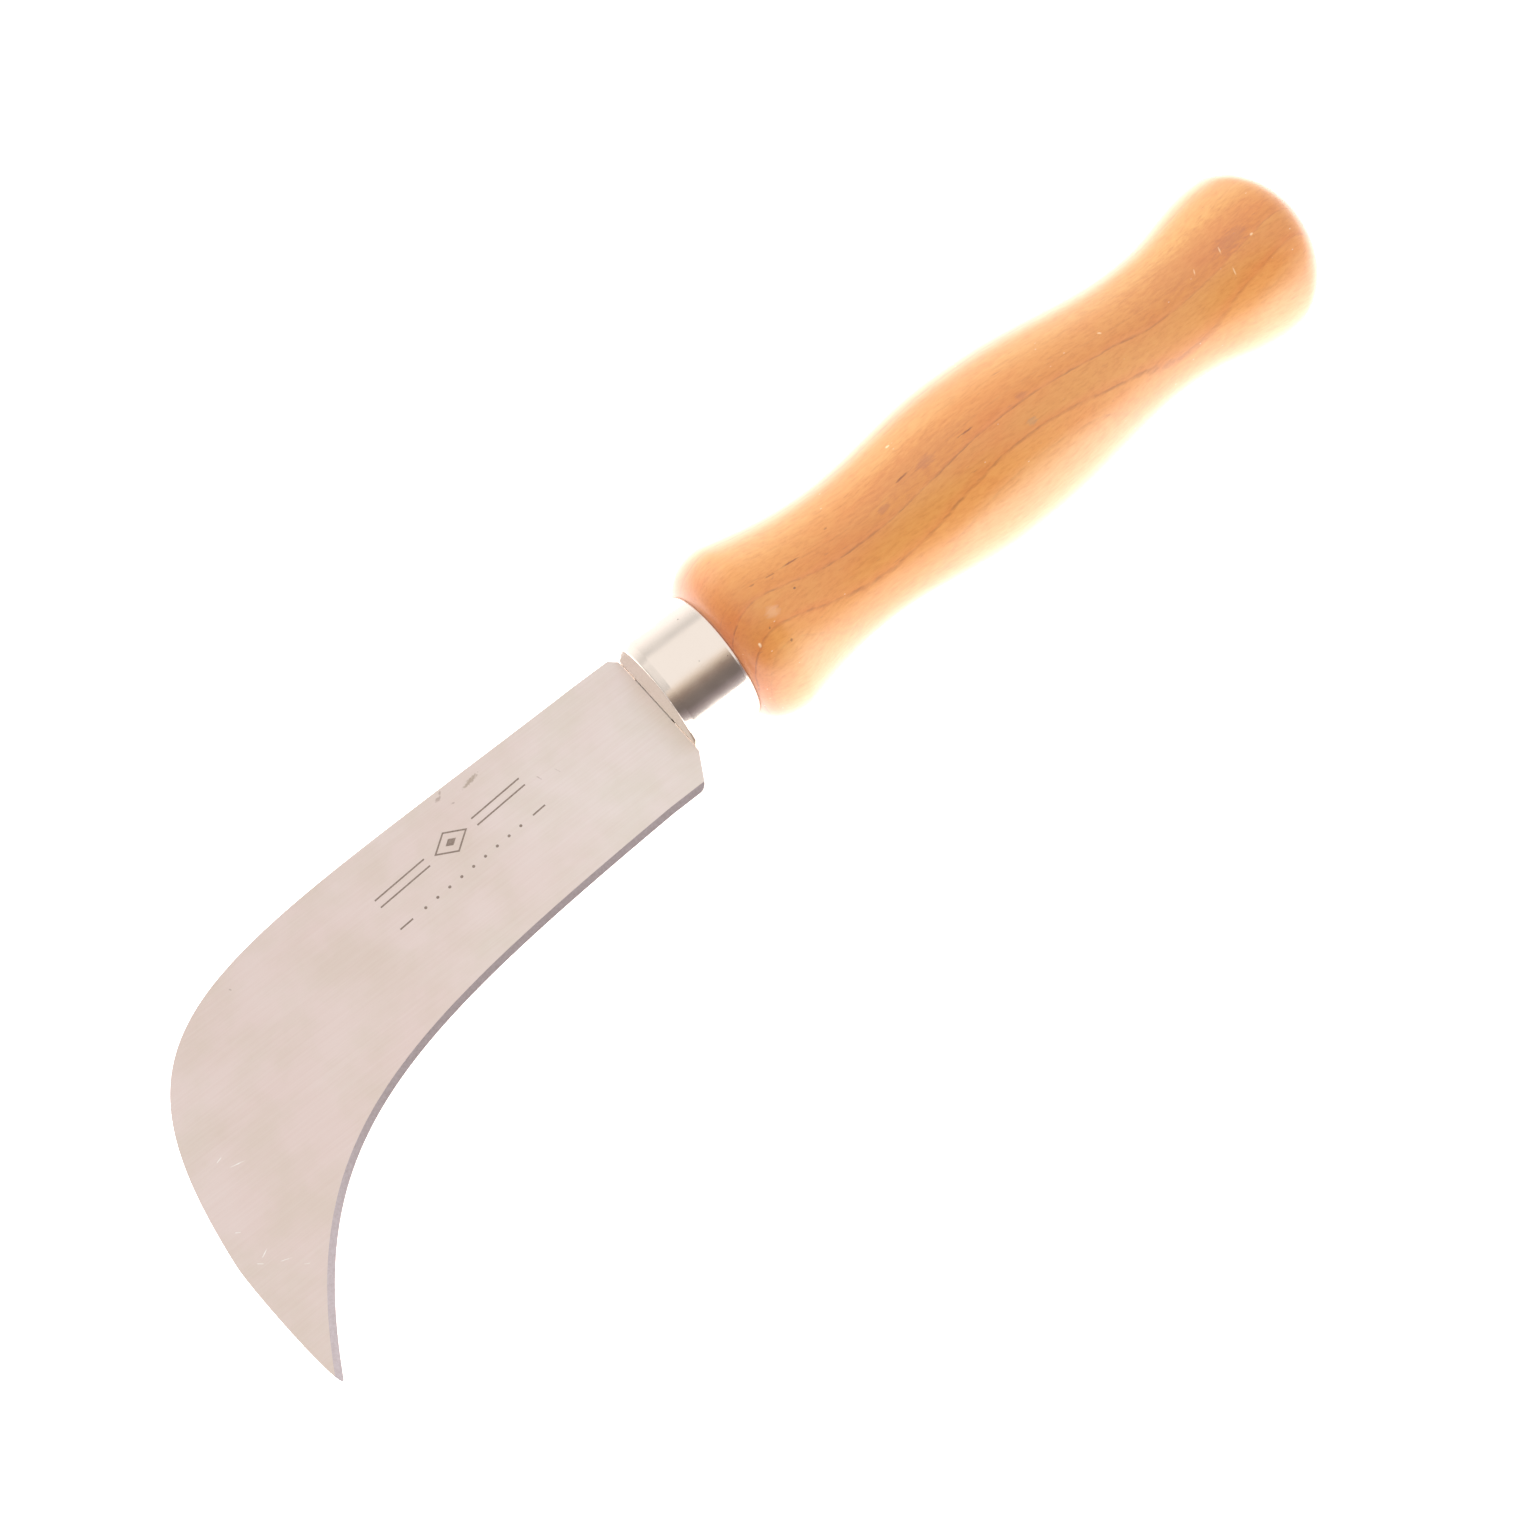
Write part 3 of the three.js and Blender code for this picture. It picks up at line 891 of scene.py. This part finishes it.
# Wear on the flats: x, y, length, width, direction, strength, colour.
steelMarks = [
    (-41.9, 7.8, 3.8, 0.95, 12, 0.75, "#B3A190"),  # dried smears from the hoof
    (-47.3, 8.6, 1.4, 0.8, 18, 0.65, "#B5A095"),
    (-46.5, 9.3, 0.8, 0.5, 40, 0.6, "#B5A095"),
    (-45.9, 6.5, 0.8, 0.4, -10, 0.55, "#B5A095"),
    (-33.5, 1.1, 1.3, 0.22, -72, 0.55, "#B09A90"),
    (-30.6, 0.2, 1.4, 0.16, -70, 0.4, "#B8A69C"),
    (-87.8, 3.8, 0.7, 0.3, -60, 0.6, "#A8988C"),
    (-101.8, -16.7, 1.3, 0.16, 18, 0.9, "#FFFAF4"),  # bright scratches near the hook's back
    (-100.0, -18.9, 2.4, 0.18, -14, 0.9, "#FFFAF4"),
    (-104.9, -27.0, 1.0, 0.14, -35, 0.8, "#FFFAF4"),
    (-103.4, -31.8, 1.6, 0.16, 28, 0.9, "#FFFAF4"),
    (-104.6, -32.6, 1.2, 0.14, -40, 0.8, "#FFFAF4"),
    (-101.6, -34.4, 1.9, 0.14, -22, 0.7, "#FFFAF4"),
    (-99.5, -36.8, 1.3, 0.12, -30, 0.6, "#FFFAF4"),
]


def satinSteel():
    look = bladeLook
    material, tree = newMaterial("spring steel, satin ground")  # soft sheen, no clear reflection
    space = patternSpace(tree)
    # clouds about 20 mm across, cooler towards the ferrule and warmer towards the hook
    cloud = addNode(tree, "ShaderNodeTexNoise", {"Vector": space, "Scale": 0.05, "Detail": 3})
    along = addNode(tree, "ShaderNodeSeparateXYZ", {"Vector": space})
    hookward = addNode(tree, "ShaderNodeMapRange", {
        "Value": along.outputs["X"],
        "From Min": -12,
        "From Max": -70,
        "To Min": -0.25,
        "To Max": 0.25,
    })
    warmth = addNode(tree, "ShaderNodeMath", {
        0: cloud.outputs["Fac"], 1: hookward.outputs["Result"],
    }, operation="ADD")
    colour = addNode(tree, "ShaderNodeValToRGB", {"Fac": warmth.outputs[0]}, [
        (0.2, look["steelCool"]), (0.8, look["steelWarm"]),
    ]).outputs["Color"]
    # faint oil stains, about a centimetre across
    stain = addNode(tree, "ShaderNodeTexNoise", {
        "Vector": space, "Scale": 0.11, "Detail": 4, "Roughness": 0.6,
    })
    stainTone = addNode(tree, "ShaderNodeValToRGB", {"Fac": stain.outputs["Fac"]}, [
        (0.36, "#F9FBF6"), (0.6, "#FFFFFF"),
    ])
    colour = addNode(tree, "ShaderNodeMix", {
        0: 1.0, 6: colour, 7: stainTone.outputs["Color"],
    }, data_type="RGBA", blend_type="MULTIPLY").outputs[2]
    # grinding lines of about 0.05 mm, drawn at 0.3 mm and 10 mm long so that they show
    lines = addNode(tree, "ShaderNodeTexNoise", {
        "Vector": patternSpace(tree, (0.03, 1, 1)), "Scale": 3.2, "Detail": 3,
    })
    lineTone = addNode(tree, "ShaderNodeValToRGB", {"Fac": lines.outputs["Fac"]}, [
        (0.3, "#FCFAF9"), (0.7, "#FFFFFF"),
    ])
    colour = addNode(tree, "ShaderNodeMix", {
        0: 1.0, 6: colour, 7: lineTone.outputs["Color"],
    }, data_type="RGBA", blend_type="MULTIPLY").outputs[2]
    # the marks have ragged edges of about 0.4 mm
    grain = addNode(tree, "ShaderNodeTexNoise", {"Vector": space, "Scale": 2.6, "Detail": 3})
    colour = addMarks(tree, space, grain.outputs["Fac"], steelMarks, colour, 0, look["markDepth"])
    roughness = addNode(tree, "ShaderNodeMapRange", {
        "Value": lines.outputs["Fac"], "To Min": 0.3, "To Max": 0.36,
    })
    bump = addNode(tree, "ShaderNodeBump", {
        "Height": lines.outputs["Fac"], "Strength": 0.007, "Distance": 0.1 * mm,
    })
    shader = addNode(tree, "ShaderNodeBsdfPrincipled", {
        "Base Color": colour,
        "Metallic": 1.0,
        "Roughness": roughness.outputs["Result"],
        "Normal": bump.outputs["Normal"],
    })
    addNode(tree, "ShaderNodeOutputMaterial", {"Surface": shader.outputs["BSDF"]})
    return material


def groundSteel():
    look = bladeLook
    material, tree = newMaterial("spring steel, fine ground")  # the bevel: darker and duller
    # wheel grit of about 0.1 mm, drawn at 0.45 mm so that it shows
    grit = addNode(tree, "ShaderNodeTexNoise", {
        "Vector": patternSpace(tree), "Scale": 2.2, "Detail": 4, "Roughness": 0.7,
    })
    tone = addNode(tree, "ShaderNodeValToRGB", {"Fac": grit.outputs["Fac"]}, [
        (0.3, look["bevelDark"]), (0.7, look["bevelLight"]),
    ])
    bump = addNode(tree, "ShaderNodeBump", {
        "Height": grit.outputs["Fac"], "Strength": 0.08, "Distance": 0.1 * mm,
    })
    shader = addNode(tree, "ShaderNodeBsdfPrincipled", {
        "Base Color": tone.outputs["Color"],
        "Metallic": 1.0,
        "Roughness": 0.52,
        "Normal": bump.outputs["Normal"],
    })
    addNode(tree, "ShaderNodeOutputMaterial", {"Surface": shader.outputs["BSDF"]})
    return material


steel = satinSteel()
halfThickness = bladeLook["thickness"] / 2
halfLand = bladeLook["grindLand"] / 2
outline = bladeOutline()
blankMesh = layered([(outline, -halfThickness), (outline, halfThickness)])
blade = buildObject("hooked_blade", blankMesh, steel)
outside = groundOutline()
inside = shrink(outside, bladeLook["grindWidth"])
sheetMesh = layered([
    (inside, -halfThickness), (outside, -halfLand), (outside, halfLand), (inside, halfThickness),
])
boolean(blade, buildObject("ground_sheet", sheetMesh, steel), "INTERSECT")
blade.data.set_sharp_from_angle(angle=math.radians(bladeLook["sharpAngle"]))
blade.data.materials.append(groundSteel())
steepest, flattest = 0.3, 0.95  # the bevel leans between these, the flats and the edges don't
for face in blade.data.polygons:
    if steepest < abs(face.normal.z) < flattest:
        face.material_index = 1
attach(blade, "root")
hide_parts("blade")
print("blade ground")

# Etched ornament: a lozenge between double lines, and a row of dots between two dashes
ornamentLook = {
    "middle": (-49.8, 1.4),
    "turned": 4.1,
    "lineWidth": 0.27,
    "lineFrom": 4.6,
    "lineTo": 14.0,
    "lineGap": 1.5,
    "lozenge": (6.4, 4.4),
    "core": (2.0, 1.4),
    "dotRow": -5.6,
    "dots": 9,
    "dotPitch": 2.3,
    "dotSize": 0.5,
    "dotSides": 12,
    "dashFrom": 11.6,
    "dashTo": 14.0,
    "raised": 0.006,  # just proud of the blade, so that it shows
    "sunk": 0.024,
    "dark": "#85756B",
    "light": "#9C8C80",
}


def etchedSteel():
    look = ornamentLook
    material, tree = newMaterial("spring steel, acid etched")  # dull brown grey on the satin flat
    # pits of about 0.05 mm, drawn at 0.3 mm so that they show
    bite = addNode(tree, "ShaderNodeTexNoise", {
        "Vector": patternSpace(tree), "Scale": 3.0, "Detail": 3,
    })
    tone = addNode(tree, "ShaderNodeValToRGB", {"Fac": bite.outputs["Fac"]}, [
        (0.3, look["dark"]), (0.7, look["light"]),
    ])
    bump = addNode(tree, "ShaderNodeBump", {
        "Height": bite.outputs["Fac"], "Strength": 0.3, "Distance": 0.1 * mm,
    })
    shader = addNode(tree, "ShaderNodeBsdfPrincipled", {
        "Base Color": tone.outputs["Color"],
        "Metallic": 0.35,
        "Roughness": 0.65,
        "Normal": bump.outputs["Normal"],
    })
    addNode(tree, "ShaderNodeOutputMaterial", {"Surface": shader.outputs["BSDF"]})
    return material


def ornamentMesh():
    look = ornamentLook
    bm = bmesh.new()
    surface = bladeLook["thickness"] / 2
    top, bottom = surface + look["raised"], surface - look["sunk"]
    middleX, middleY = look["middle"]
    angle = math.radians(look["turned"])
    lineWidth, halfLine = look["lineWidth"], look["lineWidth"] / 2

    def slab(corners):  # corners run round the outline, in the ornament's own axes
        spots = []
        for u, v in corners:
            x = middleX + u * math.cos(angle) - v * math.sin(angle)
            y = middleY + u * math.sin(angle) + v * math.cos(angle)
            spots.append((x, y))
        low = [bm.verts.new(place(x, y, bottom)) for x, y in spots]
        high = [bm.verts.new(place(x, y, top)) for x, y in spots]
        bm.faces.new(low[::-1])
        bm.faces.new(high)
        for i in range(len(spots)):
            j = (i + 1) % len(spots)
            bm.faces.new([low[i], low[j], high[j], high[i]])

    def bar(fromU, toU, v):
        left, right = sorted((fromU, toU))
        low, high = v - halfLine, v + halfLine
        slab([(left, low), (right, low), (right, high), (left, high)])

    def lozenge(width, height):
        return [(width / 2, 0), (0, height / 2), (-width / 2, 0), (0, -height / 2)]

    for side in (-1, 1):
        for v in (-look["lineGap"] / 2, look["lineGap"] / 2):
            bar(side * look["lineFrom"], side * look["lineTo"], v)
        bar(side * look["dashFrom"], side * look["dashTo"], look["dotRow"])

    width, height = look["lozenge"]
    across = width * height / math.hypot(width, height)
    kept = 1 - 2 * lineWidth / across  # the inner lozenge is smaller by the line all round
    outer = lozenge(width, height)
    inner = lozenge(width * kept, height * kept)
    for i in range(4):
        j = (i + 1) % 4
        slab([outer[i], outer[j], inner[j], inner[i]])
    slab(lozenge(*look["core"]))

    dotAngles = [2 * math.pi * i / look["dotSides"] for i in range(look["dotSides"])]
    radius = look["dotSize"] / 2
    for i in range(look["dots"]):
        u = (i - (look["dots"] - 1) / 2) * look["dotPitch"]
        slab([(u + radius * math.cos(a), look["dotRow"] + radius * math.sin(a)) for a in dotAngles])
    return bm


ornament = buildObject("etched_ornament", ornamentMesh(), etchedSteel())
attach(ornament, "root")
print("ornament etched")

# Resin round the tang
beddingLook = {
    "dark": "#BFA97C",
    "light": "#D2BE93",
}


def beddingResin():
    look = beddingLook
    material, tree = newMaterial("epoxy bedding, cast")  # dull amber, cloudy with fine bubbles
    # clouds about 2 mm across
    cloud = addNode(tree, "ShaderNodeTexNoise", {
        "Vector": patternSpace(tree), "Scale": 0.5, "Detail": 3,
    })
    tone = addNode(tree, "ShaderNodeValToRGB", {"Fac": cloud.outputs["Fac"]}, [
        (0.3, look["dark"]), (0.7, look["light"]),
    ])
    bump = addNode(tree, "ShaderNodeBump", {
        "Height": cloud.outputs["Fac"], "Strength": 0.2, "Distance": 0.2 * mm,
    })
    shader = addNode(tree, "ShaderNodeBsdfPrincipled", {
        "Base Color": tone.outputs["Color"],
        "Roughness": 0.55,
        "IOR": 1.55,
        "Normal": bump.outputs["Normal"],
    })
    addNode(tree, "ShaderNodeOutputMaterial", {"Surface": shader.outputs["BSDF"]})
    return material


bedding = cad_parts["tang_bedding"]
bedding.data.materials.clear()
bedding.data.materials.append(beddingResin())
print("bedding finished")
